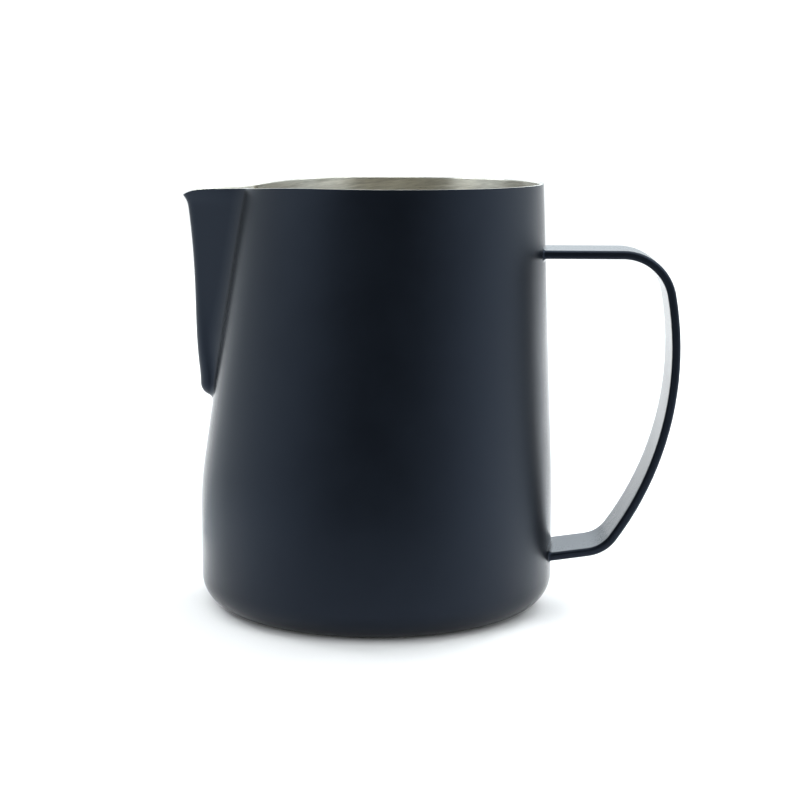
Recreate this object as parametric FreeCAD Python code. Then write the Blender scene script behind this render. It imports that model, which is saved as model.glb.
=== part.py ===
import FreeCAD, Part
import math
import os

# A milk frothing pitcher: a drawn steel cup with a spout pressed from a second sheet and welded
# into its wall, a bent strap handle butt-welded at both ends, and a black film over the outside.
# The frame: origin on the resting plane under the middle of the base, +Z up, the spout towards -X
# and the handle towards +X. The pitcher is symmetric about the XZ plane. Millimetres.

# ---- cup ----
BASE_RADIUS = 46.0        # outside radius of the straight lower wall
RIM_RADIUS = 38.65        # outside radius of the mouth
RIM_SHIFT = 4.15          # the mouth's centre stands this far from the base's, towards the handle
HEIGHT = 109.55           # height of the mouth, away from the spout
TAPER_START = 31.4        # where the straight wall and the taper would meet in a sharp bend
TAPER_BLEND = 6.0         # the bend is rounded over this height above and below that
CORNER_RADIUS = 8.0       # outside radius of the corner between wall and base
WALL = 1.0                # whole wall, film and steel
FILM = 0.1                # black film on the outside of the steel

# ---- stiffening bead, a shallow ring pressed up into the base ----
BEAD_CIRCLE = 28.0        # radius of the ring
BEAD_RISE = 0.8
BEAD_ROUND = 3.0          # radius of its round section, seen from below

# ---- spout ----
SPOUT_FOOT = 57.4         # height of the centre of the round lower end
FOOT_RADIUS = 3.5
TIP_RADIUS = 2.4          # outside radius of the nose at the lip
SIDE_ANGLE = 31.0         # each side of the spout's V, from straight ahead, near the mouth
SIDE_OPENING = 13.0       # height over which the round lower end opens out into the V
CREASE_FILLET = 1.2       # ground radius of the seam weld in the crease
SEAM_REACH = 1.35         # the seam weld takes the place of the sheets this near to their crease
INNER_EASE = 1.6          # radius of the bend from the wall into the spout, inside
SPOUT_BACK = 26.0         # the spout's solid runs this near to the axis before it is trimmed
SPOUT_STEPS = 24          # even steps between the level outlines that its sides run through

# The nose line, as height and distance in front of the axis, and the flare of the lip on top of it
NOSE_LINE = [(57.4, 46.2), (64.0, 46.7), (80.0, 47.3), (94.0, 47.9), (103.9, 48.8), (112.0, 49.6)]
NOSE_END_SLOPE = 0.1      # outward per upward at the upper end of that line
LIP_HEIGHT = 104.6        # the nose turns outwards here
LIP_SLOPE = 0.62          # outward per upward
LIP_EASE = 1.0            # the turn is rounded over about this height
LIP_NARROWING = 1.7       # degrees that the V closes for each millimetre of flare

# The edge of the mouth seen from the side, as distance in front of the axis and height. It is
# level over the handle side and dips towards the spout, most of all at the tip.
MOUTH_LINE = [(12.0, 109.55), (25.0, 109.16), (34.0, 108.42), (42.0, 108.1), (46.0, 107.75),
              (48.3, 107.2), (50.4, 106.15), (53.0, 104.3)]
MOUTH_TIP_FALL = 0.88     # how steeply it falls at the far end of that line, downward per outward

# ---- handle: one flat strap, bent on edge-on arcs, from the upper joint to the lower one ----
STRAP_WIDTH = 19.0
STRAP_THICKNESS = 2.2
STRAP_EDGE = 0.8          # rounding of its long edges
STRAP_START = (40.0, 92.0)           # middle of the strap, inside the wall
UPPER_ARM = 22.9                     # straight run before the first bend
HANDLE_BENDS = [(12.7, 79.2), (82.0, 46.3), (9.3, 46.4)]   # middle radius and turn, degrees
LOWER_ARM = 15.5
HANDLE_FILLET = 0.9       # weld fillet around each end of the strap
WELD_ROOT = 1.0           # each weld takes the place of the strap this near to the wall

# ---- working sizes ----
TOP = 110.6               # solids run up to here before the mouth is cut
REACH = 200.0             # larger than the whole pitcher
TOUCH = 0.01              # surfaces this near to each other meet
SPECK = 0.1               # solids under this many cubic millimetres are left out

UP = FreeCAD.Vector(0, 0, 1)


def vec(x, y, z):
    return FreeCAD.Vector(x, y, z)


def wall_circle(height, inset):
    """The wall's circle at a height, moved in from the outside: (centre x, radius)."""
    low = TAPER_START - TAPER_BLEND
    high = TAPER_START + TAPER_BLEND
    span = HEIGHT - TAPER_START
    if height <= low:
        share = 0.0
    elif height >= high:
        share = (height - TAPER_START) / span
    else:
        share = (TAPER_BLEND / span) * ((height - low) / (high - low)) ** 2
    return RIM_SHIFT * share, BASE_RADIUS + (RIM_RADIUS - BASE_RADIUS) * share - inset


def wall_ring(height, inset):
    """The wall's circle as a wire, in the turned frame where the handle is towards +Y."""
    centre, radius = wall_circle(height, inset)
    return Part.Wire([Part.makeCircle(radius, vec(0, centre, height))])


def bend_solid(inset):
    """The rounded bend from straight to tapered: circles carried along a parabola."""
    low = TAPER_START - TAPER_BLEND
    high = TAPER_START + TAPER_BLEND
    straight = wall_circle(low, inset)
    rows = [(low, straight), (TAPER_START, straight), (high, wall_circle(high, inset))]
    circles = []
    for height, (centre, radius) in rows:
        circles.append(Part.Circle(vec(0, centre, height), UP, radius).toBSpline())
    first = circles[0]
    poles = [[c.getPole(i + 1) for c in circles] for i in range(first.NbPoles)]
    weights = [[c.getWeight(i + 1) for c in circles] for i in range(first.NbPoles)]
    surface = Part.BSplineSurface()
    surface.buildFromPolesMultsKnots(
        poles, first.getMultiplicities(), [3, 3], first.getKnots(), [0.0, 1.0],
        first.isPeriodic(), False, first.Degree, 2, weights)
    side = surface.toShape()
    bottom = Part.Face(wall_ring(low, inset))
    top = Part.Face(wall_ring(high, inset))
    shell = Part.Shell([side, bottom, top])
    shell.sewShape()
    solid = Part.Solid(shell)
    if solid.Volume < 0:
        solid.reverse()
    return solid


def cup_solid(inset):
    """The cup as a full solid, its wall and base moved in from the outside by inset.

    It is built with the handle's side towards +Y and then turned, which keeps the closing lines of
    its round faces away from the handle and the spout.
    """
    low = TAPER_START - TAPER_BLEND
    high = TAPER_START + TAPER_BLEND
    foot = Part.makeCylinder(BASE_RADIUS - inset, low - inset, vec(0, 0, inset))
    corner = [e for e in foot.Edges if e.BoundBox.ZMax < inset + TOUCH]
    foot = foot.makeFillet(CORNER_RADIUS - inset, corner)
    taper = Part.makeLoft([wall_ring(high, inset), wall_ring(TOP, inset)], True, True)
    cup = foot.fuse([bend_solid(inset), taper]).removeSplitter()
    cup.rotate(vec(0, 0, 0), UP, -90)
    return cup


def base_bead(radius):
    """The ring that the pressed bead takes out of whatever is above the base."""
    return Part.makeTorus(BEAD_CIRCLE, radius, vec(0, 0, BEAD_RISE - BEAD_ROUND))


def lip_flare(height):
    """How far the lip stands out in front of the plain nose line."""
    above = height - LIP_HEIGHT
    return LIP_SLOPE * (math.hypot(above, LIP_EASE) + above) / 2


def nose_reach(height):
    """Distance of the spout's nose in front of the axis at a height."""
    curve = Part.BSplineCurve()
    points = [vec(z, reach, 0) for z, reach in NOSE_LINE]
    curve.interpolate(
        Points=points, InitialTangent=vec(1, 0, 0), FinalTangent=vec(1, NOSE_END_SLOPE, 0))
    crossing = curve.intersectCC(Part.LineSegment(vec(height, 0, 0), vec(height, REACH, 0)))
    plain = crossing[0].Y if crossing else NOSE_LINE[0][1]
    return plain + lip_flare(height)


def spout_section(height, inset):
    """A level outline through the spout: a round nose with a straight side each way from it."""
    rise = height - SPOUT_FOOT
    share = (rise / (HEIGHT - SPOUT_FOOT)) ** 2
    radius = FOOT_RADIUS + (TIP_RADIUS - FOOT_RADIUS) * share
    centre = radius - nose_reach(height)
    opening = SIDE_ANGLE * (1 - math.exp(-(rise / SIDE_OPENING) ** 2))
    opening = opening - LIP_NARROWING * lip_flare(height)
    turn = math.radians(max(0.0, opening))
    radius = radius - inset
    start_x = centre - radius * math.sin(turn)
    start_y = radius * math.cos(turn)
    back_y = start_y + math.tan(turn) * (-SPOUT_BACK - start_x)
    far_back = vec(-SPOUT_BACK, back_y, height)
    far = vec(start_x, start_y, height)
    nose = vec(centre - radius, 0, height)
    near = vec(start_x, -start_y, height)
    near_back = vec(-SPOUT_BACK, -back_y, height)
    return Part.Wire([
        Part.makeLine(far_back, far),
        Part.Arc(far, nose, near).toShape(),
        Part.makeLine(near, near_back),
        Part.makeLine(near_back, far_back)])


def spout_solid(inset):
    """The spout as a full solid, its lower end rounded like the bowl of a spoon."""
    rise = (TOP - SPOUT_FOOT) / SPOUT_STEPS
    heights = [SPOUT_FOOT + rise * step for step in range(SPOUT_STEPS + 1)]
    sides = Part.makeLoft([spout_section(height, inset) for height in heights], True, False)
    radius = FOOT_RADIUS - inset
    middle = radius + inset - nose_reach(SPOUT_FOOT)
    corner = vec(middle, radius, SPOUT_FOOT)
    nose = vec(middle - radius, 0, SPOUT_FOOT)
    diagonal = radius * math.sqrt(0.5)
    round_point = vec(middle - diagonal, diagonal, SPOUT_FOOT)
    back = vec(-SPOUT_BACK, radius, SPOUT_FOOT)
    back_middle = vec(-SPOUT_BACK, 0, SPOUT_FOOT)
    half = Part.Face(Part.Wire([
        Part.Arc(nose, round_point, corner).toShape(),
        Part.makeLine(corner, back),
        Part.makeLine(back, back_middle),
        Part.makeLine(back_middle, nose)]))
    foot = half.revolve(nose, vec(1, 0, 0), -180)
    return sides.fuse(foot).removeSplitter()


def middle_of(edge):
    return edge.valueAt((edge.FirstParameter + edge.LastParameter) / 2)


def edges_shared(union, first, second):
    """The edges of a union along which its two solids meet."""
    found = []
    for edge in union.Edges:
        point = Part.Vertex(middle_of(edge))
        if first.distToShape(point)[0] < TOUCH and second.distToShape(point)[0] < TOUCH:
            found.append(edge)
    return found


def eased_union(cup, spout, radius):
    """The cup and the spout as one, with the crease between them rounded."""
    both = cup.fuse(spout).removeSplitter()
    crease = [e for e in edges_shared(both, cup, spout) if middle_of(e).z < TOP - TOUCH]
    return both.makeFillet(radius, crease)


def above_mouth():
    """Everything above the edge of the mouth."""
    points = [vec(-reach, -REACH, height) for reach, height in MOUTH_LINE]
    level = points[0]
    tip_end = points[-1]
    curve = Part.BSplineCurve()
    curve.interpolate(
        Points=points, InitialTangent=vec(-1, 0, 0), FinalTangent=vec(-1, 0, -MOUTH_TIP_FALL))
    corners = [tip_end, vec(-REACH, -REACH, tip_end.z), vec(-REACH, -REACH, REACH),
               vec(REACH, -REACH, REACH), vec(REACH, -REACH, level.z), level]
    lines = [Part.makeLine(start, end) for start, end in zip(corners, corners[1:])]
    return Part.Face(Part.Wire([curve.toShape()] + lines)).extrude(vec(0, 2 * REACH, 0))


def strap_side(offset):
    """One side of the strap's bent shape in the XZ plane, offset outwards from its middle."""
    edges = []
    heading = 0.0
    x, z = STRAP_START

    def shifted(px, pz, angle):
        return vec(px - offset * math.sin(angle), 0, pz + offset * math.cos(angle))

    def straight(length):
        nonlocal x, z
        start = shifted(x, z, heading)
        x += length * math.cos(heading)
        z += length * math.sin(heading)
        edges.append(Part.makeLine(start, shifted(x, z, heading)))

    straight(UPPER_ARM)
    for radius, turn in HANDLE_BENDS:
        centre_x = x + radius * math.sin(heading)
        centre_z = z - radius * math.cos(heading)
        places = []
        for part in (0.0, 0.5, 1.0):
            angle = heading - math.radians(turn) * part
            px = centre_x - radius * math.sin(angle)
            pz = centre_z + radius * math.cos(angle)
            places.append(shifted(px, pz, angle))
        edges.append(Part.Arc(*places).toShape())
        x, z, heading = px, pz, angle
    straight(LOWER_ARM)
    return edges


def strap_solid(inset):
    """The strap from inside the wall to inside the wall, its surface moved in by inset."""
    half = STRAP_THICKNESS / 2 - inset
    outer = strap_side(half)
    inner = strap_side(-half)
    first = Part.makeLine(outer[0].Vertexes[0].Point, inner[0].Vertexes[0].Point)
    last = Part.makeLine(outer[-1].Vertexes[-1].Point, inner[-1].Vertexes[-1].Point)
    face = Part.Face(Part.Wire(Part.__sortEdges__(outer + inner + [first, last])))
    width = STRAP_WIDTH - 2 * inset
    face.translate(vec(0, -width / 2, 0))
    strap = face.extrude(vec(0, width, 0))
    long_edges = []
    for edge in strap.Edges:
        box = edge.BoundBox
        if box.YLength < TOUCH and edge.Length > 2 * STRAP_THICKNESS:
            long_edges.append(edge)
    return strap.makeFillet(STRAP_EDGE - inset, long_edges)


def with_weld_fillets(cup, strap, radius):
    """Cup and strap as one, with a weld fillet all round both joints."""
    both = cup.fuse(strap).removeSplitter()
    return both.makeFillet(radius, edges_shared(both, cup, strap))


def real_solids(shape):
    """The solids of a cut, without the specks that rounding can leave."""
    return [solid for solid in shape.Solids if solid.Volume > SPECK]


def main():
    mouth_cut = above_mouth()

    outer_cup = cup_solid(0)
    steel_cup = cup_solid(FILM)
    steel_spout = spout_solid(FILM)
    steel_bar = strap_solid(FILM)
    outer_vessel = eased_union(outer_cup, spout_solid(0), CREASE_FILLET)
    steel_vessel = eased_union(steel_cup, steel_spout, CREASE_FILLET + FILM)
    outer_strapped = with_weld_fillets(outer_cup, strap_solid(0), HANDLE_FILLET)
    steel_strapped = with_weld_fillets(steel_cup, steel_bar, HANDLE_FILLET)
    room = eased_union(cup_solid(WALL), spout_solid(WALL), INNER_EASE)
    room = room.cut(base_bead(BEAD_ROUND + WALL))

    # the base is bare steel out to the corner
    base_disc = Part.makeCylinder(BASE_RADIUS - CORNER_RADIUS, WALL / 2)
    based_cup = steel_cup.fuse(base_disc).removeSplitter().cut(base_bead(BEAD_ROUND))

    # each weld is the filler and the melted edges of what it joins
    near_cup = cup_solid(FILM - SEAM_REACH)
    near_spout = spout_solid(FILM - SEAM_REACH)
    seam = steel_vessel.cut([room, mouth_cut]).common(near_cup).common(near_spout)
    strap = steel_bar.cut(cup_solid(FILM - WELD_ROOT))
    welds = real_solids(steel_strapped.cut([steel_cup, strap]))
    handle_film = outer_strapped.cut([outer_cup, steel_bar] + welds)
    body_film = outer_vessel.cut([steel_vessel, mouth_cut, base_disc])
    body_film = body_film.cut([steel_bar] + welds)

    parts = {
        "body_shell": based_cup.cut([near_spout, room, mouth_cut]),
        "spout": steel_spout.cut([near_cup, room, mouth_cut]),
        "spout_seam_weld": seam,
        "handle_strap": strap,
        "upper_handle_weld": max(welds, key=lambda solid: solid.CenterOfMass.z),
        "lower_handle_weld": min(welds, key=lambda solid: solid.CenterOfMass.z),
        "body_coating": body_film,
        "handle_coating": handle_film,
    }
    os.makedirs("parts", exist_ok=True)
    for name, shape in parts.items():
        whole = Part.Compound(real_solids(shape))
        print(name, whole.isValid(), [round(solid.Volume, 2) for solid in whole.Solids])
        whole.exportStep("parts/" + name + ".step")


main()
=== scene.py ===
import math

import bmesh
import bpy
import numpy as np
from mathutils import Matrix, Vector


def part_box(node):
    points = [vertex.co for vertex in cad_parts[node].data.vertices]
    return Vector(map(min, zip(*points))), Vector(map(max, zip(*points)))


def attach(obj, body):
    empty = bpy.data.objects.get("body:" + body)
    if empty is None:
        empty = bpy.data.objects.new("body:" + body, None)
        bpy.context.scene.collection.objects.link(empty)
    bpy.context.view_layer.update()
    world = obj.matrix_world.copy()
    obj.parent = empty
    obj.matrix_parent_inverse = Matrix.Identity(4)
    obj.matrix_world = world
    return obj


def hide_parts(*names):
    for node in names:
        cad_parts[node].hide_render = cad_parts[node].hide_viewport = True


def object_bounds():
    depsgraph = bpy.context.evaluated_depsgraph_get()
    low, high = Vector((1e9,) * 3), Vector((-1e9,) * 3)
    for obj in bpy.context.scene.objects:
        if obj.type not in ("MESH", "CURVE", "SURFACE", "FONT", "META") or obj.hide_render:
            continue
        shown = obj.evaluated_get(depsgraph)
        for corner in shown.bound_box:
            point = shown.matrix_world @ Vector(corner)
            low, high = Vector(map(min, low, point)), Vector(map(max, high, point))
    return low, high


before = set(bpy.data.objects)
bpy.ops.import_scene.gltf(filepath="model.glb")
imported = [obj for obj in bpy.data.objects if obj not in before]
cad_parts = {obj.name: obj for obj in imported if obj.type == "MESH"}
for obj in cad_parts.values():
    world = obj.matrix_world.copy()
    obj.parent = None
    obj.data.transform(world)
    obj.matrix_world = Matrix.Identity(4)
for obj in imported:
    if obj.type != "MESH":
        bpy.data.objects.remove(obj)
cad_low, cad_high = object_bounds()

# A milk frothing pitcher in a plain studio. Its surfaces are built again as even quad meshes from
# the same rules as the CAD solids. Lengths are in millimetres up to the last step of each mesh.
MM = 0.001

# ---- sizes read from the frame ----
body_low, body_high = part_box("body_coating")
BASE_RADIUS = (body_high.y - body_low.y) / 2 / MM
HEIGHT = body_high.z / MM

# ---- cup ----
RIM_RADIUS = 38.65
RIM_SHIFT = 4.15
TAPER_START = 31.4
TAPER_BLEND = 6.0
CORNER_RADIUS = 8.0
WALL = 1.0
FILM = 0.1

# ---- stiffening bead ----
BEAD_CIRCLE = 28.0
BEAD_RISE = 0.8
BEAD_HALF_WIDTH = 2.5

# ---- spout ----
SPOUT_FOOT = 57.4
FOOT_RADIUS = 3.5
TIP_RADIUS = 2.4
SIDE_ANGLE = 31.0
SIDE_OPENING = 13.0
CREASE_FOOT_EASE = 1.7    # radius that the crease is ground to at the spout's foot
CREASE_EASE = 7.5         # and further up
CREASE_EASE_RISE = 15.0   # height over which the one grows into the other
INNER_EASE = 1.6          # radius of the crease inside
NOSE_LINE = [(57.4, 46.2), (64.0, 46.7), (80.0, 47.3), (94.0, 47.9), (103.9, 48.8), (112.0, 49.6)]
NOSE_END_SLOPE = 0.1
LIP_HEIGHT = 104.6
LIP_SLOPE = 0.62
LIP_EASE = 1.0
LIP_NARROWING = 1.7

# ---- edge of the mouth ----
MOUTH_LINE = [(12.0, 109.55), (25.0, 109.16), (34.0, 108.42), (42.0, 108.1), (46.0, 107.75),
              (48.3, 107.2), (50.4, 106.15), (53.0, 104.3)]
MOUTH_TIP_FALL = 0.88
RIM_OUTER_ROUND = 0.22
RIM_INNER_ROUND = 0.3

# ---- handle ----
STRAP_WIDTH = 19.0
STRAP_THICKNESS = 2.2
STRAP_EDGE = 0.8
STRAP_START = (40.0, 92.0)
UPPER_ARM = 22.9
HANDLE_BENDS = [(12.7, 79.2), (82.0, 46.3), (9.3, 46.4)]
LOWER_ARM = 15.5
HANDLE_FILLET = 0.9
FLANGE = [(0.25, 0.012), (0.5, 0.06)]   # the film past each fillet: run along the wall and depth in it

# ---- how finely the meshes are divided ----
SPOUT_COLUMNS = 44        # from the nose to the crease, each side
WALL_COLUMNS = 108        # from the crease round to the handle, each side
HALF_COLUMNS = SPOUT_COLUMNS + WALL_COLUMNS
COLUMNS = 2 * HALF_COLUMNS
CORNER_ROWS = 10
SEAM_CELLS = 5            # the seam weld covers this many cells each side of the crease
BEAD_RINGS = 17
RINGS_ROUND_BEAD = [35.5, 33.0, 31.0]
RINGS_WITHIN_BEAD = [24.0, 21.0]
SPOUT_PULL = 0.45         # how strongly the spout's columns draw together at the crease, 0 to 1
WALL_PULL = 0.9           # the same for the wall's columns
WALL_PULL_POWER = 1.8
EVEN_DROP = 2.4           # this many foot radii under the spout the columns begin to even out
EVEN_RUN = 26.0           # and this far below that they are even
FOOT_WRAP = 1.3           # how far out the grid still bends round the foot, in foot radii
EDGE_STEPS = 5            # steps round a small rounded edge
BEND_STEP = 2.2           # degrees between the strap's rings in its bends
ARM_STEPS = 8             # rings along each straight arm of the strap
RING_GAP = 0.6            # room between an arm's last ring and its fillet
FILLET_STEPS = 8
STRAP_EDGE_STEPS = 6      # steps round each long edge of the strap
STRAP_FACE_CELLS = 12     # cells across each wide face of the strap

SHARP_OVER = math.radians(50)     # an edge is shaded sharp over this angle

# ---- searches for a surface along a line ----
SPOUT_SECTOR = math.radians(24)   # the spout and its crease lie within this angle of its nose
SEARCH_MARGIN = 0.5               # a search starts this far inside the plain wall
SPOUT_SEARCH = 22.0               # and ends this much further out, beyond the spout's lip
JOINT_SEARCH = 16.0               # a joint lies within this distance of the middle of its arm
HALVINGS = 34
EDGE_ROUNDS = 40                  # rounds in which the columns settle on the edge of the mouth


# =============================== shapes by formula ===============================

def smooth_step(share):
    share = np.clip(share, 0.0, 1.0)
    return share * share * (3 - 2 * share)


def curve_through(points, start, end, steps=60):
    """A smooth curve through points, with the given directions at its ends, as two arrays."""
    points = np.array(points, float)
    chords = np.linalg.norm(np.diff(points, axis=0), axis=1)
    count = len(points)
    matrix = np.zeros((count, count))
    right = np.zeros((count, 2))
    matrix[0, 0] = 1
    matrix[-1, -1] = 1
    right[0] = np.array(start) / np.linalg.norm(start)
    right[-1] = np.array(end) / np.linalg.norm(end)
    for i in range(1, count - 1):
        before, after = chords[i - 1], chords[i]
        matrix[i, i - 1] = after
        matrix[i, i] = 2 * (before + after)
        matrix[i, i + 1] = before
        right[i] = 3 * (after * (points[i] - points[i - 1]) / before
                        + before * (points[i + 1] - points[i]) / after)
    slopes = np.linalg.solve(matrix, right)
    places = []
    for i in range(count - 1):
        t = np.linspace(0, 1, steps, endpoint=False)[:, None]
        chord = chords[i]
        places.append((2 * t**3 - 3 * t**2 + 1) * points[i] + (t**3 - 2 * t**2 + t) * chord * slopes[i]
                      + (3 * t**2 - 2 * t**3) * points[i + 1] + (t**3 - t**2) * chord * slopes[i + 1])
    places = np.vstack(places + [points[-1:]])
    return places[:, 0], places[:, 1]


nose_heights, nose_reaches = curve_through(NOSE_LINE, (1, 0), (1, NOSE_END_SLOPE))
mouth_reaches, mouth_heights = curve_through(MOUTH_LINE, (1, 0), (1, -MOUTH_TIP_FALL))


def mouth_height(x):
    """Height of the edge of the mouth over a place x."""
    return np.interp(-x, mouth_reaches, mouth_heights)


def wall_circle(height):
    """Centre x and outside radius of the wall at a height."""
    low = TAPER_START - TAPER_BLEND
    high = TAPER_START + TAPER_BLEND
    span = HEIGHT - TAPER_START
    bend = (TAPER_BLEND / span) * np.clip((height - low) / (high - low), 0, 1) ** 2
    share = np.where(height < high, bend, (height - TAPER_START) / span)
    return RIM_SHIFT * share, BASE_RADIUS + (RIM_RADIUS - BASE_RADIUS) * share


def lip_flare(height):
    above = height - LIP_HEIGHT
    return LIP_SLOPE * (np.hypot(above, LIP_EASE) + above) / 2


def spout_shape(height):
    """The spout's nose at a height: centre x, radius, and the turn of its sides from straight ahead."""
    height = np.maximum(height, SPOUT_FOOT)
    rise = height - SPOUT_FOOT
    share = (rise / (HEIGHT - SPOUT_FOOT)) ** 2
    radius = FOOT_RADIUS + (TIP_RADIUS - FOOT_RADIUS) * share
    flare = lip_flare(height)
    centre = radius - np.interp(height, nose_heights, nose_reaches) - flare
    opening = SIDE_ANGLE * (1 - np.exp(-(rise / SIDE_OPENING) ** 2)) - LIP_NARROWING * flare
    return centre, radius, np.radians(np.maximum(opening, 0))


def cup_field(x, y, z, inset):
    """Level distance outside the cup's wall."""
    centre, radius = wall_circle(z)
    return np.hypot(x - centre, y) - radius + inset


def spout_field(x, y, z, inset):
    """Level distance outside the spout, and below its foot the distance outside its round end."""
    centre, radius, turn = spout_shape(z)
    side = np.hypot(y, np.minimum(z - SPOUT_FOOT, 0))
    along = (x - centre) * np.cos(turn) + side * np.sin(turn)
    across = side * np.cos(turn) - (x - centre) * np.sin(turn)
    return np.where(along < 0, np.hypot(x - centre, side), across) - radius + inset


def gradient(field, x, y, z, inset, step=0.01):
    slope = np.array([
        field(x + step, y, z, inset) - field(x - step, y, z, inset),
        field(x, y + step, z, inset) - field(x, y - step, z, inset),
        field(x, y, z + step, inset) - field(x, y, z - step, inset)]) / (2 * step)
    return slope


def vessel_field(x, y, z, inset, ease):
    """Distance outside cup and spout together, with their crease rounded to the radius ease."""
    cup = cup_field(x, y, z, inset)
    spout = spout_field(x, y, z, inset)
    cup_slope = gradient(cup_field, x, y, z, inset)
    spout_slope = gradient(spout_field, x, y, z, inset)
    cup_length = np.linalg.norm(cup_slope, axis=0)
    spout_length = np.linalg.norm(spout_slope, axis=0)
    turned = np.sum(cup_slope * spout_slope, axis=0) / (cup_length * spout_length)
    turned = np.clip(turned, -0.999, 0.999)
    first = cup / cup_length - ease
    second = spout / spout_length - ease
    scale = 1 - turned * turned
    between = (turned * second - first > 0) & (turned * first - second > 0)
    square = (first**2 + second**2 - 2 * first * second * turned) / scale
    rounded = ease - np.sqrt(np.maximum(square, 0))
    return np.where(between, rounded, np.minimum(cup / cup_length, spout / spout_length))


def outer_ease(z, inset):
    """Radius of the crease's rounding at a height, on the outside or on a surface inset from it."""
    rise = smooth_step((z - SPOUT_FOOT) / CREASE_EASE_RISE)
    return CREASE_FOOT_EASE + (CREASE_EASE - CREASE_FOOT_EASE) * rise + inset


def inner_ease(z, _inset):
    """The same inside the vessel, where it is one radius all the way up."""
    return np.full_like(z, INNER_EASE)


def surface_radius(angle, z, inset, ease):
    """Level distance from the wall's centre to the vessel's surface, at an angle from the spout."""
    centre, radius = wall_circle(z)
    found = radius - inset
    near = (np.abs(angle) < SPOUT_SECTOR) & (z > SPOUT_FOOT - FOOT_RADIUS - 2 * INNER_EASE)
    turn = angle[near]
    height = z[near]
    near_ease = ease(height, inset)
    middle = centre[near]
    low = found[near] - SEARCH_MARGIN
    high = low + SPOUT_SEARCH
    for _ in range(HALVINGS):
        half = (low + high) / 2
        x = middle - half * np.cos(turn)
        y = half * np.sin(turn)
        outside = vessel_field(x, y, height, inset, near_ease) > 0
        high = np.where(outside, half, high)
        low = np.where(outside, low, half)
    found = found.copy()
    found[near] = (low + high) / 2
    return found


def surface_point(angle, z, inset, ease):
    centre, _ = wall_circle(z)
    radius = surface_radius(angle, z, inset, ease)
    return np.stack([centre - radius * np.cos(angle), radius * np.sin(angle), z], axis=-1)


def crease_angle(z):
    """Angle of the crease between spout and wall, seen from the wall's centre."""
    z = np.maximum(z, SPOUT_FOOT)
    middle, wall = wall_circle(z)
    centre, radius, turn = spout_shape(z)
    start_x = centre - radius * np.sin(turn) - middle
    start_y = radius * np.cos(turn)
    half = start_x * np.cos(turn) + start_y * np.sin(turn)
    run = -half - np.sqrt(half**2 - (start_x**2 + start_y**2 - wall**2))
    return np.arctan2(start_y + run * np.sin(turn), -(start_x + run * np.cos(turn)))


# =============================== the vessel's grid ===============================

def column_angles(z):
    """Angles of one side's columns at the heights z, closest together at the crease: rows x columns."""
    crease = crease_angle(z)[:, None]
    steps = np.arange(SPOUT_COLUMNS + 1) / SPOUT_COLUMNS
    spout_share = (1 - SPOUT_PULL) * steps + SPOUT_PULL * (1 - (1 - steps) ** 2)
    steps = np.arange(1, WALL_COLUMNS + 1) / WALL_COLUMNS
    wall_share = (1 - WALL_PULL) * steps + WALL_PULL * steps**WALL_PULL_POWER
    close = np.hstack([crease * spout_share, crease + (math.pi - crease) * wall_share])
    even = np.arange(HALF_COLUMNS + 1) / HALF_COLUMNS * math.pi
    share = smooth_step((SPOUT_FOOT - EVEN_DROP * FOOT_RADIUS - z) / EVEN_RUN)[:, None]
    return close * (1 - share) + even * share


def wrap_columns(half):
    """One side's columns continued round the other side."""
    return np.hstack([half, -half[:, -2:0:-1]])


def wrapped_foot(angle, z):
    """Moves the grid's square corners onto the spout's round lower end."""
    foot_angle = float(crease_angle(np.array([SPOUT_FOOT]))[0])
    across = np.abs(angle) / foot_angle
    down = np.maximum((SPOUT_FOOT - z) / FOOT_RADIUS, 0)
    square = np.maximum(across, down)
    factor = square / np.maximum(np.hypot(across, down), 1e-9)
    factor = np.where(down > 0, factor, 1.0)
    share = smooth_step((square - 1) / FOOT_WRAP)
    factor = factor * (1 - share) + share
    return angle * factor, np.where(down > 0, SPOUT_FOOT - (SPOUT_FOOT - z) * factor, z)


def heights_between(stops):
    """Heights whose spacing runs evenly from stop to stop: stops are (height, spacing) pairs."""
    heights = [stops[0][0]]
    while heights[-1] < stops[-1][0]:
        spacing = np.interp(heights[-1], [s[0] for s in stops], [s[1] for s in stops])
        heights.append(heights[-1] + spacing)
    low, high = stops[0][0], stops[-1][0]
    return low + (np.array(heights) - low) * (high - low) / (heights[-1] - low)


FOOT_END = SPOUT_FOOT - FOOT_RADIUS
TOP_BAND = 1.2            # the rows nearest to the mouth, from this depth up, follow its edge
LEAN_FROM = 88.0          # above this height the rows begin to lean towards the edge of the mouth
TOP_DEPTHS = [0.9, 0.65, 0.45, 0.3, RIM_OUTER_ROUND]
LOW_ROWS = [(CORNER_RADIUS, 3.0), (25.0, 1.8), (33.0, 1.5), (44.0, 1.5), (FOOT_END, 0.16)]
HIGH_ROWS = [(FOOT_END, 0.16), (SPOUT_FOOT, 0.28), (64.0, 0.8), (74.0, 1.5), (98.0, 1.5), (104.0, 0.4),
             (HEIGHT - TOP_BAND, 0.4)]
wall_heights = np.concatenate([heights_between(LOW_ROWS)[:-1], heights_between(HIGH_ROWS)])
FOOT_ROW = int(np.argmin(np.abs(wall_heights - FOOT_END)))


def top_edge(inset, ease):
    """Angles and heights where the columns meet the edge of the mouth, at an inset."""
    height = np.full(COLUMNS, HEIGHT)
    for _ in range(EDGE_ROUNDS):
        half = column_angles(height[:HALF_COLUMNS + 1])
        side = half[np.arange(HALF_COLUMNS + 1), np.arange(HALF_COLUMNS + 1)]
        angle = np.concatenate([side, -side[-2:0:-1]])
        point = surface_point(angle, height, inset, ease)
        height = mouth_height(point[:, 0])
    return angle, height


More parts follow.
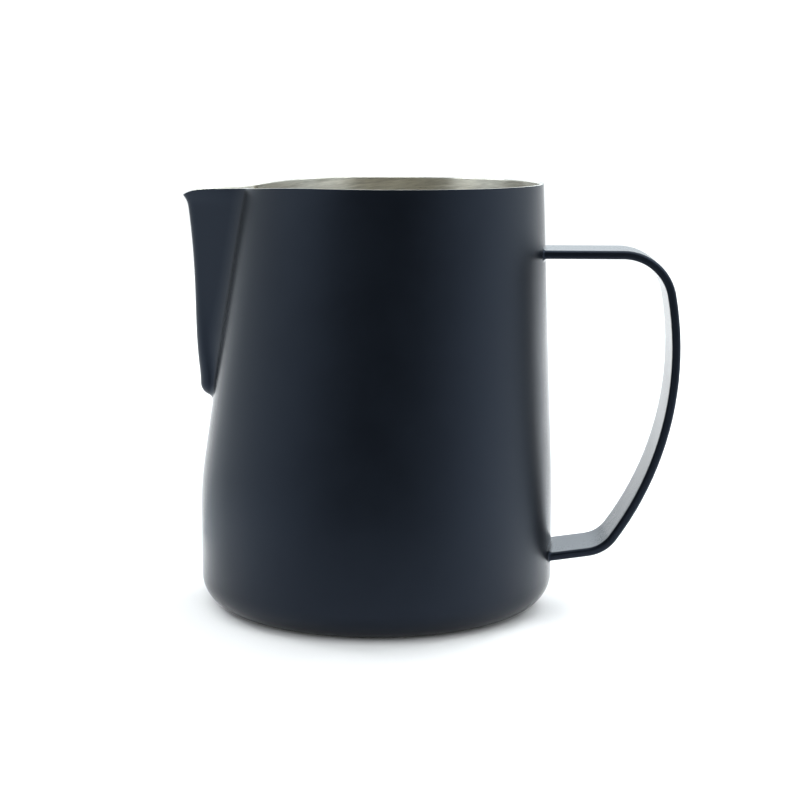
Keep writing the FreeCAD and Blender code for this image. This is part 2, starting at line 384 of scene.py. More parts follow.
def wall_grid(inset, ease):
    """The vessel's wall from the corner of the base up to the mouth: rows x columns x 3.

    The last row lies on the edge of the mouth itself.
    """
    _, edge = top_edge(inset, ease)
    share = np.maximum(wall_heights - LEAN_FROM, 0) / (HEIGHT - TOP_BAND - LEAN_FROM)
    rows = wall_heights[:, None] + share[:, None] * (edge - HEIGHT)[None, :]
    depths = np.array(TOP_DEPTHS + [0.0])[:, None]
    rows = np.vstack([rows, edge[None, :] - depths])
    z_half = rows[:, :HALF_COLUMNS + 1]
    angle = np.empty_like(z_half)
    for column in range(HALF_COLUMNS + 1):
        angle[:, column] = column_angles(z_half[:, column])[:, column]
    angle = wrap_columns(angle)
    angle, rows = wrapped_foot(angle, rows)
    return surface_point(angle, rows, inset, ease)


def round_grid(profile):
    """Full circles from a profile of (radius, height) pairs: rows x columns x 3."""
    angle = np.arange(HALF_COLUMNS + 1) / HALF_COLUMNS * math.pi
    angle = np.concatenate([angle, -angle[-2:0:-1]])
    radius = np.array([p[0] for p in profile])[:, None]
    height = np.array([p[1] for p in profile])[:, None]
    return np.stack([-radius * np.cos(angle), radius * np.sin(angle), height + 0 * angle], axis=-1)


def corner_profile(inset):
    """The rounded corner from the flat base out to the wall, without the wall's own first row."""
    flat = BASE_RADIUS - CORNER_RADIUS
    radius = CORNER_RADIUS - inset
    places = []
    for step in range(CORNER_ROWS):
        turn = math.pi / 2 * step / CORNER_ROWS
        places.append((flat + radius * math.sin(turn), CORNER_RADIUS - radius * math.cos(turn)))
    return places


def bead_height(radius):
    """How far the pressed bead lifts the base at a radius."""
    share = min(abs(radius - BEAD_CIRCLE) / BEAD_HALF_WIDTH, 1.0)
    return BEAD_RISE * (1 - share * share) ** 2


def rounded_edge(start, corner, end):
    """Rows of a rounded edge between two rows of points, without the first: a curve towards corner."""
    rows = []
    for step in range(1, EDGE_STEPS + 1):
        t = step / EDGE_STEPS
        rows.append((1 - t) ** 2 * start + 2 * t * (1 - t) * corner + t**2 * end)
    return rows


# =============================== meshes ===============================

def make_object(name, points, faces):
    """A closed mesh in metres, its normals outwards, smooth except over a sharp edge."""
    used = sorted({index for face in faces for index in face})
    place = {old: new for new, old in enumerate(used)}
    mesh = bpy.data.meshes.new(name)
    coordinates = (np.asarray(points)[used] * MM).tolist()
    mesh.from_pydata(coordinates, [], [[place[index] for index in face] for face in faces])
    building = bmesh.new()
    building.from_mesh(mesh)
    bmesh.ops.recalc_face_normals(building, faces=building.faces)
    building.to_mesh(mesh)
    building.free()
    mesh.polygons.foreach_set("use_smooth", [True] * len(mesh.polygons))
    mesh.set_sharp_from_angle(angle=SHARP_OVER)
    piece = bpy.data.objects.new(name, mesh)
    bpy.context.scene.collection.objects.link(piece)
    return piece


def grid_faces(rows, columns, cells=None, closed_rows=False):
    """Quads of a grid whose columns run round, where cells (rows x columns) says so."""
    faces = []
    last = rows if closed_rows else rows - 1
    for row in range(last):
        above = (row + 1) % rows
        for column in range(columns):
            if cells is None or cells[row, column]:
                beside = (column + 1) % columns
                faces.append((row * columns + column, row * columns + beside,
                              above * columns + beside, above * columns + column))
    return faces


def disc_cap(ring):
    """Points and quads that fill a flat ring of points: a square patch drawn out to the ring."""
    count = len(ring)
    side = count // 4
    sides = [[(start * side + step) % count for step in range(side + 1)] for start in range(4)]
    bottom = ring[sides[0]]
    right = ring[sides[1]]
    top = ring[sides[2]][::-1]
    left = ring[sides[3]][::-1]
    share = np.arange(side + 1) / side
    u = share[None, :, None]
    v = share[:, None, None]
    patch = ((1 - v) * bottom[None] + v * top[None] + (1 - u) * left[:, None] + u * right[:, None]
             - (1 - u) * (1 - v) * bottom[0] - u * (1 - v) * bottom[-1]
             - (1 - u) * v * top[0] - u * v * top[-1])
    number = np.full((side + 1, side + 1), -1)
    number[0, :] = sides[0]
    number[:, side] = sides[1]
    number[side, :] = sides[2][::-1]
    number[:, 0] = sides[3][::-1]
    inner = []
    for row in range(1, side):
        for column in range(1, side):
            number[row, column] = count + len(inner)
            inner.append(patch[row, column])
    faces = []
    for row in range(side):
        for column in range(side):
            faces.append((number[row, column], number[row, column + 1],
                          number[row + 1, column + 1], number[row + 1, column]))
    return np.array(inner), faces


def body_film():
    """The black film on the outside of cup and spout: a thin closed skin."""
    outer = wall_grid(0.0, outer_ease)
    inner = wall_grid(FILM, outer_ease)
    # at the mouth the film turns in over the steel's outer edge
    outer_rows = list(round_grid(corner_profile(0.0))) + list(outer[:-1])
    edge = rounded_edge(outer[-2], outer[-1], (outer[-1] + inner[-1]) / 2)
    inner_rows = list(inner[:-2][::-1]) + list(round_grid(corner_profile(FILM)))[::-1]
    rows = outer_rows + edge + inner_rows
    points = np.array(rows).reshape(-1, 3)
    return make_object("body_film", points, grid_faces(len(rows), COLUMNS, closed_rows=True))


def steel_vessel():
    """The cup, the spout and the weld between them, cut from one grid so that they meet exactly."""
    outer = wall_grid(FILM, outer_ease)
    inner = wall_grid(WALL, inner_ease)
    bead_out = BEAD_CIRCLE + BEAD_HALF_WIDTH
    bead_in = BEAD_CIRCLE - BEAD_HALF_WIDTH
    bead_radii = list(np.linspace(bead_out, bead_in, BEAD_RINGS))
    radii = [BASE_RADIUS - CORNER_RADIUS] + RINGS_ROUND_BEAD + bead_radii + RINGS_WITHIN_BEAD
    under = [(radius, bead_height(radius)) for radius in radii]
    floor = [(radius, WALL + bead_height(radius)) for radius in radii[1:]]
    low_outer = list(round_grid(under[::-1])) + list(round_grid(corner_profile(FILM)))
    low_inner = list(round_grid(corner_profile(WALL))[::-1]) + list(round_grid(floor))
    across = inner[-1] - outer[-1]
    across = across / np.linalg.norm(across, axis=1)[:, None]
    down = inner[-2] - inner[-1]
    down = down / np.linalg.norm(down, axis=1)[:, None]
    rim = rounded_edge(outer[-2], outer[-1], outer[-1] + across * RIM_OUTER_ROUND)
    rim_inside = inner[-1] - across * RIM_INNER_ROUND
    rim = rim + [(rim[-1] + rim_inside) / 2, rim_inside]
    rim = rim + rounded_edge(rim_inside, inner[-1], inner[-1] + down * RIM_INNER_ROUND)
    outer_rows = low_outer + list(outer[:-1])
    inner_rows = list(inner[:-2][::-1]) + low_inner
    rows = outer_rows + rim + inner_rows
    points = np.array(rows).reshape(-1, 3)
    row_count = len(rows)
    outer_foot = len(low_outer) + FOOT_ROW
    outer_top = len(outer_rows) - 1
    inner_top = len(outer_rows) + len(rim)
    pairs = {}
    for step in range(len(outer) - 2):
        pairs[len(low_outer) + step] = inner_top + (len(inner) - 3) - step
    # the outer wall's last row has no partner of its own, because the rim begins there
    inner_foot = pairs[outer_foot]

    def region(reach, drop):
        """Cells within a number of columns of the nose and above a row under the spout."""
        cells = np.zeros((row_count - 1, COLUMNS), bool)
        cells[outer_foot - drop:inner_foot + drop, :reach] = True
        cells[outer_foot - drop:inner_foot + drop, COLUMNS - reach:] = True
        return cells

    def wall_cut(reach, drop):
        """Quads across the wall's thickness, along the edge of such a region."""
        faces = []
        first = outer_foot - drop
        for column in (reach, COLUMNS - reach):
            for row in range(first, outer_top - 1):
                faces.append([row * COLUMNS + column, (row + 1) * COLUMNS + column,
                              pairs[row + 1] * COLUMNS + column, pairs[row] * COLUMNS + column])
            faces.append([row * COLUMNS + column for row in range(outer_top - 1, inner_top + 1)])
        for column in list(range(COLUMNS - reach, COLUMNS)) + list(range(reach)):
            beside = (column + 1) % COLUMNS
            faces.append([first * COLUMNS + column, first * COLUMNS + beside,
                          pairs[first] * COLUMNS + beside, pairs[first] * COLUMNS + column])
        return faces

    inside = region(SPOUT_COLUMNS - SEAM_CELLS, -SEAM_CELLS)
    all_spout = region(SPOUT_COLUMNS + SEAM_CELLS, SEAM_CELLS)
    cut_inside = wall_cut(SPOUT_COLUMNS - SEAM_CELLS, -SEAM_CELLS)
    cut_outside = wall_cut(SPOUT_COLUMNS + SEAM_CELLS, SEAM_CELLS)
    cup_faces = grid_faces(row_count, COLUMNS, ~all_spout) + cut_outside
    under_points, under_faces = disc_cap(points[:COLUMNS])
    floor_points, floor_faces = disc_cap(points[-COLUMNS:])
    under_start = len(points)
    floor_start = under_start + len(under_points)
    for face in under_faces:
        cup_faces.append([i if i < COLUMNS else under_start + i - COLUMNS for i in face])
    last_row = (row_count - 1) * COLUMNS
    for face in floor_faces:
        cup_faces.append([last_row + i if i < COLUMNS else floor_start + i - COLUMNS for i in face])
    all_points = np.vstack([points, under_points, floor_points])
    cup = make_object("cup_steel", all_points, cup_faces)
    spout = make_object("spout_steel", all_points, grid_faces(row_count, COLUMNS, inside) + cut_inside)
    weld_cells = all_spout & ~inside
    weld = make_object("seam_weld_steel", all_points,
                       grid_faces(row_count, COLUMNS, weld_cells) + cut_inside + cut_outside)
    return cup, spout, weld


# =============================== handle ===============================

def strap_path():
    """The middle line of the strap: places (x, z) and headings, and how far the end arms reach."""
    x, z = STRAP_START
    heading = 0.0
    places = []
    for step in range(1, ARM_STEPS + 1):
        run = UPPER_ARM * step / ARM_STEPS
        places.append((x + run, z, heading))
    x += UPPER_ARM
    for radius, turn in HANDLE_BENDS:
        centre_x = x + radius * math.sin(heading)
        centre_z = z - radius * math.cos(heading)
        steps = int(turn / BEND_STEP)
        for step in range(1, steps + 1):
            angle = heading - math.radians(turn) * step / steps
            places.append((centre_x - radius * math.sin(angle), centre_z + radius * math.cos(angle), angle))
        x, z, heading = places[-1]
    for step in range(1, ARM_STEPS):
        run = LOWER_ARM * step / ARM_STEPS
        places.append((x + run * math.cos(heading), z + run * math.sin(heading), heading))
    end = (x + LOWER_ARM * math.cos(heading), z + LOWER_ARM * math.sin(heading), heading)
    return places, end


def strap_section(inset):
    """Outline of the strap's section: (across, outward) places and their outward directions."""
    half_width = STRAP_WIDTH / 2 - inset
    half_thick = STRAP_THICKNESS / 2 - inset
    edge = STRAP_EDGE - inset
    places = []
    normals = []
    for corner in range(4):
        start = corner * math.pi / 2
        middle_y = (half_width - edge) * (1 if corner in (0, 3) else -1)
        middle_n = (half_thick - edge) * (1 if corner in (0, 1) else -1)
        for step in range(STRAP_EDGE_STEPS + 1):
            turn = start + math.pi / 2 * step / STRAP_EDGE_STEPS
            normals.append((math.cos(turn), math.sin(turn)))
            places.append((middle_y + edge * math.cos(turn), middle_n + edge * math.sin(turn)))
        if corner in (0, 2):
            sign = 1 if corner == 0 else -1
            for step in range(1, STRAP_FACE_CELLS):
                across = (half_width - edge) * (1 - 2 * step / STRAP_FACE_CELLS) * sign
                places.append((across, half_thick * sign))
                normals.append((0.0, float(sign)))
    return np.array(places), np.array(normals)


def strap_ring(place, section, normals):
    """The section's outline standing at a place of the path: points and outward directions."""
    x, z, heading = place
    out = np.array([-math.sin(heading), 0.0, math.cos(heading)])
    across = np.array([0.0, 1.0, 0.0])
    points = np.array([x, 0.0, z]) + section[:, :1] * across + section[:, 1:] * out
    return points, normals[:, :1] * across + normals[:, 1:] * out


def wall_distance(points, inset):
    x, y, z = points[:, 0], points[:, 1], points[:, 2]
    slope = gradient(cup_field, x, y, z, inset)
    length = np.linalg.norm(slope, axis=0)
    return cup_field(x, y, z, inset) / length, (slope / length).T


def joint_rows(end, towards, inset):
    """Rows of the weld fillet from the strap to the wall, and of a flange that sinks into the wall."""
    section, normals = strap_section(inset)
    points, out = strap_ring(end, section, normals)
    heading = np.array([math.cos(end[2]), 0.0, math.sin(end[2])]) * towards
    low = np.full(len(points), -JOINT_SEARCH)
    high = np.full(len(points), JOINT_SEARCH)
    for _ in range(HALVINGS):
        half = (low + high) / 2
        centre = points + heading * half[:, None] + out * HANDLE_FILLET
        outside = wall_distance(centre, inset)[0] > HANDLE_FILLET
        low = np.where(outside, half, low)
        high = np.where(outside, high, half)
    start = points + heading * low[:, None]
    centre = start + out * HANDLE_FILLET
    wall_out = wall_distance(centre, inset)[1]
    rows = [start]
    for step in range(1, FILLET_STEPS + 1):
        share = step / FILLET_STEPS
        angle = np.arccos(np.clip(np.sum(out * wall_out, axis=1), -1, 1))[:, None]
        direction = (np.sin((1 - share) * angle) * out + np.sin(share * angle) * wall_out) / np.sin(angle)
        rows.append(centre - direction * HANDLE_FILLET)
    spread = out - wall_out * np.sum(out * wall_out, axis=1)[:, None]
    spread = spread / np.linalg.norm(spread, axis=1)[:, None]
    foot = rows[-1]
    for run, depth in FLANGE:
        rows.append(foot + spread * run - wall_out * depth)
    return rows


def strap_rows(inset):
    """All rings of the strap's surface with its welds, from the upper joint to the lower one."""
    section, normals = strap_section(inset)
    places, lower_end = strap_path()
    upper = joint_rows((STRAP_START[0] + UPPER_ARM / 2, STRAP_START[1], 0.0), -1.0, inset)
    lower = joint_rows(places[-ARM_STEPS // 2], 1.0, inset)
    first_x = max(upper[0][:, 0]) + RING_GAP
    # the lower arm's rings stop before the fillet begins
    heading = np.array([math.cos(lower_end[2]), 0.0, math.sin(lower_end[2])])
    last_run = min((lower[0] @ heading).tolist()) - RING_GAP
    rows = upper[::-1]
    for place in places:
        spot = np.array([place[0], 0.0, place[1]])
        straight_start = place[2] == 0.0 and place[0] < first_x
        past_end = place[2] == lower_end[2] and spot @ heading > last_run
        if not straight_start and not past_end:
            rows.append(strap_ring(place, section, normals)[0])
    return rows + lower


def handle_film():
    """The black film on the strap and its two welds: a thin closed skin."""
    outer = strap_rows(0.0)
    inner = strap_rows(FILM)
    rows = outer + inner[::-1]
    columns = len(outer[0])
    points = np.array(rows).reshape(-1, 3)
    return make_object("handle_film", points, grid_faces(len(rows), columns, closed_rows=True))


# =============================== materials ===============================

MICRON = 0.000001

# the film's two shades, its tint in reflections, and its roughness square on and at a grazing view
FILM_SHADES = [(0.0011, 0.0017, 0.0028, 1), (0.0017, 0.0026, 0.0040, 1)]
FILM_TINT = (0.59, 0.72, 1.0, 1)
FILM_ROUGHNESS = (0.41, 0.20)
FILM_FACING = (0.5, 0.92)     # the roughness goes from one to the other between these

STEEL_SHADES = [(0.56, 0.53, 0.46, 1), (0.90, 0.86, 0.765, 1)]


def new_material(name):
    material = bpy.data.materials.new(name)
    material.use_nodes = True
    nodes = material.node_tree.nodes
    shader = nodes["Principled BSDF"]
    return material, nodes, material.node_tree.links, shader


def add_noise(nodes, links, vector, scale, detail=2.0, roughness=0.5):
    noise = nodes.new("ShaderNodeTexNoise")
    noise.inputs["Scale"].default_value = scale
    noise.inputs["Detail"].default_value = detail
    noise.inputs["Roughness"].default_value = roughness
    links.new(vector, noise.inputs["Vector"])
    return noise.outputs["Fac"]


def spread_to(nodes, links, value, low, high, from_low=0.3, from_high=0.7):
    spread = nodes.new("ShaderNodeMapRange")
    spread.inputs["From Min"].default_value = from_low
    spread.inputs["From Max"].default_value = from_high
    spread.inputs["To Min"].default_value = low
    spread.inputs["To Max"].default_value = high
    links.new(value, spread.inputs["Value"])
    return spread.outputs["Result"]


def shade_between(nodes, links, value, low, high, shades):
    """A colour that runs from one shade to the other as value runs from low to high."""
    ramp = nodes.new("ShaderNodeValToRGB")
    for element, position, shade in zip(ramp.color_ramp.elements, (low, high), shades):
        element.position = position
        element.color = shade
    links.new(value, ramp.inputs["Fac"])
    return ramp.outputs["Color"]


def split_vector(nodes, links, vector):
    """The sockets of a vector's X, Y and Z."""
    split = nodes.new("ShaderNodeSeparateXYZ")
    links.new(vector, split.inputs["Vector"])
    return split.outputs


def vector_math(nodes, links, operation, vector):
    node = nodes.new("ShaderNodeVectorMath")
    node.operation = operation
    links.new(vector, node.inputs[0])
    return node


def level_part(nodes, links, place):
    """A place's level part, without its height."""
    flatten = vector_math(nodes, links, "MULTIPLY", place)
    flatten.inputs[1].default_value = (1, 1, 0)
    return flatten.outputs["Vector"]


def combine(nodes, links, operation, first, second):
    node = nodes.new("ShaderNodeMath")
    node.operation = operation
    for socket, value in zip(node.inputs, (first, second)):
        if isinstance(value, (int, float)):
            socket.default_value = value
        else:
            links.new(value, socket)
    return node.outputs["Value"]


def add_bump(nodes, links, height, distance, normal=None):
    bump = nodes.new("ShaderNodeBump")
    bump.inputs["Strength"].default_value = 1.0
    bump.inputs["Distance"].default_value = distance
    links.new(height, bump.inputs["Height"])
    if normal is not None:
        links.new(normal, bump.inputs["Normal"])
    return bump.outputs["Normal"]


def black_film_material():
    """A baked matt film: near black with a blue cast, very slightly uneven."""
    material, nodes, links, shader = new_material("black_film")
    place = nodes.new("ShaderNodeTexCoord").outputs["Object"]
    broad = add_noise(nodes, links, place, 90.0, 3.0)
    peel = add_noise(nodes, links, place, 750.0, 2.0)
    grain = add_noise(nodes, links, place, 5200.0, 2.0)
    links.new(shade_between(nodes, links, broad, 0.3, 0.7, FILM_SHADES), shader.inputs["Base Color"])
    # matt seen square on, and smoother towards a grazing view
    facing = nodes.new("ShaderNodeLayerWeight").outputs["Facing"]
    rough = combine(nodes, links, "ADD", spread_to(nodes, links, facing, *FILM_ROUGHNESS, *FILM_FACING),
                    spread_to(nodes, links, broad, -0.01, 0.02))
    rough = combine(nodes, links, "ADD", rough, spread_to(nodes, links, grain, -0.015, 0.02))
    links.new(rough, shader.inputs["Roughness"])
    shader.inputs["IOR"].default_value = 1.42
    shader.inputs["Specular Tint"].default_value = FILM_TINT
    normal = add_bump(nodes, links, peel, 6 * MICRON)
    normal = add_bump(nodes, links, grain, 1.6 * MICRON, normal)
    links.new(normal, shader.inputs["Normal"])
    return material


def brushed_steel_material(name, streak_depth, roughness):
    """Stainless steel brushed round its axis, inside the cup and on the base alike."""
    material, nodes, links, shader = new_material(name)
    place = nodes.new("ShaderNodeTexCoord").outputs["Object"]
    level = level_part(nodes, links, place)
    distance = vector_math(nodes, links, "LENGTH", level).outputs["Value"]
    around = split_vector(nodes, links, vector_math(nodes, links, "NORMALIZE", level).outputs["Vector"])
    # this runs up the wall and in across the base, so the streaks go round on both
    run = combine(nodes, links, "SUBTRACT", split_vector(nodes, links, place)["Z"], distance)

    def streaks(fineness, stretch, detail):
        """Noise drawn out round the axis: fineness is in lines per metre."""
        joined = nodes.new("ShaderNodeCombineXYZ")
        links.new(combine(nodes, links, "MULTIPLY", around["X"], stretch), joined.inputs["X"])
        links.new(combine(nodes, links, "MULTIPLY", around["Y"], stretch), joined.inputs["Y"])
        links.new(combine(nodes, links, "MULTIPLY", run, fineness), joined.inputs["Z"])
        return add_noise(nodes, links, joined.outputs["Vector"], 1.0, detail, 0.6)

    fine = streaks(9000.0, 14.0, 3.0)
    coarse = streaks(800.0, 2.5, 4.0)
    broad = add_noise(nodes, links, place, 25.0, 2.0)
    mixed = combine(nodes, links, "ADD", combine(nodes, links, "MULTIPLY", coarse, 0.6),
                    combine(nodes, links, "MULTIPLY", fine, 0.4))
    links.new(shade_between(nodes, links, mixed, 0.40, 0.60, STEEL_SHADES), shader.inputs["Base Color"])
    shader.inputs["Metallic"].default_value = 1.0
    rough = combine(nodes, links, "ADD", spread_to(nodes, links, fine, roughness - 0.05, roughness + 0.05),
                    spread_to(nodes, links, broad, -0.02, 0.03))
    links.new(rough, shader.inputs["Roughness"])
    shader.inputs["Anisotropic"].default_value = 0.92
    shader.inputs["Anisotropic Rotation"].default_value = 0.25
    tangent = nodes.new("ShaderNodeTangent")
    tangent.direction_type = "RADIAL"
    tangent.axis = "Z"
    links.new(tangent.outputs["Tangent"], shader.inputs["Tangent"])
    normal = add_bump(nodes, links, fine, streak_depth)
    normal = add_bump(nodes, links, coarse, streak_depth * 2, normal)
    links.new(normal, shader.inputs["Normal"])
    return material


def paint(piece, material):
    piece.data.materials.clear()
    piece.data.materials.append(material)


# =============================== the object ===============================

film = black_film_material()
steel = brushed_steel_material("brushed_steel", 1.2 * MICRON, 0.33)
ground_steel = brushed_steel_material("ground_steel", 0.8 * MICRON, 0.24)

film_on_body = body_film()
film_on_handle = handle_film()
cup, spout, seam = steel_vessel()

for piece, material, slot, node in (
        (film_on_body, film, "black_coating", "body_coating"),
        (film_on_handle, film, "black_coating", "handle_coating"),
        (cup, steel, "bare_steel", "body_shell"),
        (spout, steel, "bare_steel", "spout"),
        (seam, ground_steel, "bare_steel", "spout_seam_weld")):
    paint(piece, material)
    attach(piece, "root")
    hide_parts(node)

for node in ("handle_strap", "upper_handle_weld", "lower_handle_weld"):
    paint(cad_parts[node], steel)


# =============================== studio ===============================

def square_corners(half_side, height):
    return [(-half_side, -half_side, height), (half_side, -half_side, height),
            (half_side, half_side, height), (-half_side, half_side, height)]


def studio_floor():
    mesh = bpy.data.meshes.new("floor")
    mesh.from_pydata(square_corners(FLOOR_HALF_SIDE, FLOOR), [], [(0, 1, 2, 3)])
    plane = bpy.data.objects.new("floor", mesh)
    bpy.context.scene.collection.objects.link(plane)
    material, _, _, shader = new_material("floor")
    shader.inputs["Base Color"].default_value = (*FLOOR_COLOUR, 1)
    shader.inputs["Roughness"].default_value = 0.9
    shader.inputs["Specular IOR Level"].default_value = 0.0
    plane.data.materials.append(material)


def soft_light(name, place, target, width, height, power, spread=180, glossy=True, diffuse=True):
    data = bpy.data.lights.new(name, "AREA")
    data.shape = "RECTANGLE"
    data.size = width
    data.size_y = height
    data.energy = power
    data.spread = math.radians(spread)
    data.color = STUDIO_COLOUR
    light = bpy.data.objects.new(name, data)
    light.location = place
    light.rotation_euler = (Vector(target) - Vector(place)).to_track_quat("-Z", "Y").to_euler()
    light.visible_camera = False
    light.visible_glossy = glossy
    light.visible_diffuse = diffuse
    bpy.context.scene.collection.objects.link(light)


STUDIO_LEVEL = 1.26
SCREEN_STRENGTH = 1.45
STUDIO_COLOUR = (0.87, 0.95, 1.0)
FLOOR_COLOUR = (0.95, 0.90, 0.87)
FLOOR = -0.00005          # just clear of the base
FLOOR_HALF_SIDE = 8

# a screen round the camera's side and a low ceiling are most of what the pitcher's front reflects;
# the screen comes in over the floor, and both are seen in reflections only
SCREEN_RADIUS = 0.95
SCREEN_HEIGHT = 1.1
SCREEN_REACH = 130        # degrees to each side of the camera's
SCREEN_STEPS = 60
SCREEN_LIFT = (0.02, 0.1) # its lower part's brightness gives way to its upper part's over these heights
CEILING_LEVEL = 0.5
CEILING_HALF_SIDE = 1.3

# the screen's section, as (radius, height) from near the pitcher to its top
SCREEN_SECTION = [(0.1, 0.0005), (0.4, 0.001), (0.65, 0.002), (SCREEN_RADIUS, 0.02),
                  (SCREEN_RADIUS, SCREEN_HEIGHT)]

# how bright the screen is, against the angle from the camera's side round to the right in degrees
SCREEN_LEVELS = [(-130, 0.45), (-100, 0.42), (-75, 0.46), (-55, 0.39), (-35, 0.15), (-15, 0.008),
                 (0, 0.002), (15, 0.008), (35, 0.07), (60, 0.33), (90, 0.95), (130, 0.75)]
# the same for its lower part
SCREEN_LOW_LEVELS = [(-130, 0.85), (-100, 1.05), (-75, 1.0), (-55, 0.9), (-35, 0.6), (-15, 0.12),
                     (0, 0.03), (15, 0.1), (35, 0.5), (60, 1.1), (90, 1.3), (130, 1.1)]
# and how bright its part on the floor is at least, against the distance in metres
SCREEN_FLOOR_LEVELS = [(0.1, 0.5), (0.25, 0.42), (0.5, 0.1), (0.7, 0.0)]


def level_ramp(nodes, links, value, stops):
    """A grey that follows value through stops of (value, level)."""
    ramp = nodes.new("ShaderNodeValToRGB")
    elements = ramp.color_ramp.elements
    elements[0].position = stops[0][0]
    elements[1].position = stops[-1][0]
    for position, _ in stops[1:-1]:
        elements.new(position)
    for stop, (position, level) in zip(elements, stops):
        stop.color = (level, level, level, 1)
    links.new(value, ramp.inputs["Fac"])
    return ramp.outputs["Color"]


def turn_stops(levels):
    """Levels against degrees from the camera's side, as levels against shares of a full turn."""
    return [((degrees + 180) / 360, bright) for degrees, bright in levels]


def glow_material(name):
    material = bpy.data.materials.new(name)
    material.use_nodes = True
    nodes = material.node_tree.nodes
    links = material.node_tree.links
    nodes.clear()
    glow = nodes.new("ShaderNodeEmission")
    glow.inputs["Strength"].default_value = SCREEN_STRENGTH
    output = nodes.new("ShaderNodeOutputMaterial")
    links.new(glow.outputs["Emission"], output.inputs["Surface"])
    return material, nodes, links, glow


def reflected_only(name, points, faces, material):
    mesh = bpy.data.meshes.new(name)
    mesh.from_pydata(points, [], faces)
    mesh.materials.append(material)
    piece = bpy.data.objects.new(name, mesh)
    bpy.context.scene.collection.objects.link(piece)
    piece.visible_camera = False
    piece.visible_shadow = False
    piece.visible_diffuse = False


def dark_screen():
    points = []
    for radius, height in SCREEN_SECTION:
        for step in range(SCREEN_STEPS + 1):
            angle = math.radians(SCREEN_REACH * (2 * step / SCREEN_STEPS - 1))
            points.append((radius * math.sin(angle), -radius * math.cos(angle), height))
    faces = []
    for row in range(len(SCREEN_SECTION) - 1):
        for step in range(SCREEN_STEPS):
            first = row * (SCREEN_STEPS + 1) + step
            above = first + SCREEN_STEPS + 1
            faces.append((first, first + 1, above + 1, above))
    material, nodes, links, glow = glow_material("screen")
    place = nodes.new("ShaderNodeTexCoord").outputs["Object"]
    parts = split_vector(nodes, links, place)
    distance = vector_math(nodes, links, "LENGTH", level_part(nodes, links, place)).outputs["Value"]
    ahead = combine(nodes, links, "MULTIPLY", parts["Y"], -1.0)
    angle = combine(nodes, links, "ARCTAN2", parts["X"], ahead)
    turn = spread_to(nodes, links, angle, 0.0, 1.0, -math.pi, math.pi)
    upper = level_ramp(nodes, links, turn, turn_stops(SCREEN_LEVELS))
    lower = level_ramp(nodes, links, turn, turn_stops(SCREEN_LOW_LEVELS))
    lift = spread_to(nodes, links, parts["Z"], 0.0, 1.0, *SCREEN_LIFT)
    fade = combine(nodes, links, "SUBTRACT", 1.0, lift)
    around = combine(nodes, links, "ADD", combine(nodes, links, "MULTIPLY", upper, lift),
                     combine(nodes, links, "MULTIPLY", lower, fade))
    near = level_ramp(nodes, links, distance, SCREEN_FLOOR_LEVELS)
    tint = nodes.new("ShaderNodeVectorMath")
    tint.operation = "SCALE"
    tint.inputs[0].default_value = STUDIO_COLOUR
    links.new(combine(nodes, links, "MAXIMUM", around, near), tint.inputs["Scale"])
    links.new(tint.outputs["Vector"], glow.inputs["Color"])
    reflected_only("screen", points, faces, material)


def dark_ceiling():
    material, _, _, glow = glow_material("ceiling")
    glow.inputs["Color"].default_value = tuple(part * CEILING_LEVEL for part in STUDIO_COLOUR) + (1,)
    reflected_only("ceiling", square_corners(CEILING_HALF_SIDE, SCREEN_HEIGHT), [(0, 1, 2, 3)], material)


studio_floor()
dark_screen()
dark_ceiling()

world = bpy.data.worlds.new("studio")
world.use_nodes = True
world.node_tree.nodes["Background"].inputs["Color"].default_value = (*STUDIO_COLOUR, 1)
world.node_tree.nodes["Background"].inputs["Strength"].default_value = STUDIO_LEVEL
bpy.context.scene.world = world

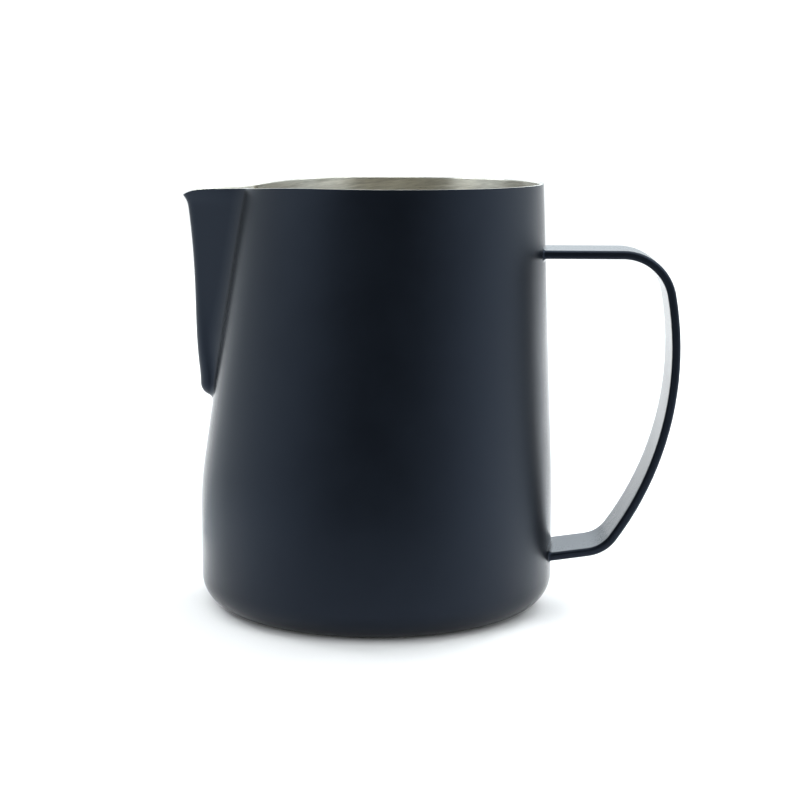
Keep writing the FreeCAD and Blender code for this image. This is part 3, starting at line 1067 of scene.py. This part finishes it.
# four soft boxes that are seen only in reflections, and four lamps that even out the floor
middle = (cad_low + cad_high) / 2
left_pool = (-0.14, 0.03, 0.0)
right_pool = (0.14, 0.03, 0.0)
soft_light("overhead", (0.05, 0.0, 0.9), middle, 0.5, 0.4, 3.0, diffuse=False)
soft_light("left_box", (-0.64, -0.06, 0.58), middle, 0.75, 0.3, 4.2, diffuse=False)
soft_light("right_box", (0.58, -0.24, 0.58), middle, 0.55, 0.3, 3.2, diffuse=False)
soft_light("back_box", (0.1, 1.0, 0.48), middle, 0.8, 0.3, 1.5, diffuse=False)
soft_light("left_back", (-0.45, 0.6, 0.6), middle, 0.4, 0.4, 2.0, glossy=False)
soft_light("right_back", (0.45, 0.6, 0.6), middle, 0.4, 0.4, 6.0, glossy=False)
soft_light("left_floor", (-0.5, 0.25, 0.35), left_pool, 0.15, 0.15, 0.07, spread=35, glossy=False)
soft_light("right_floor", (0.5, 0.25, 0.35), right_pool, 0.15, 0.15, 0.12, spread=35, glossy=False)

bpy.context.scene.view_settings.view_transform = "Standard"

# =============================== camera ===============================

CAMERA_PLACE = (0.02244, -0.48974, 0.1310)
CAMERA_DOWN = 0.1578      # radians that it looks down
CAMERA_LEFT = 0.0334      # and to the left
CAMERA_ROLL = 0.0029
CAMERA_LENS = 85.295

forward = Vector((-math.cos(CAMERA_DOWN) * math.sin(CAMERA_LEFT),
                  math.cos(CAMERA_DOWN) * math.cos(CAMERA_LEFT), -math.sin(CAMERA_DOWN)))
level_right = forward.cross(Vector((0, 0, 1))).normalized()
level_up = level_right.cross(forward)
right = level_right * math.cos(CAMERA_ROLL) + level_up * math.sin(CAMERA_ROLL)
up = level_up * math.cos(CAMERA_ROLL) - level_right * math.sin(CAMERA_ROLL)
camera_data = bpy.data.cameras.new("camera")
camera_data.lens = CAMERA_LENS
camera_data.sensor_width = 36.0
camera_data.clip_start = 0.01
camera = bpy.data.objects.new("camera", camera_data)
turn = Matrix((right, up, -forward)).transposed().to_4x4()
camera.matrix_world = Matrix.Translation(CAMERA_PLACE) @ turn
bpy.context.scene.collection.objects.link(camera)
bpy.context.scene.camera = camera
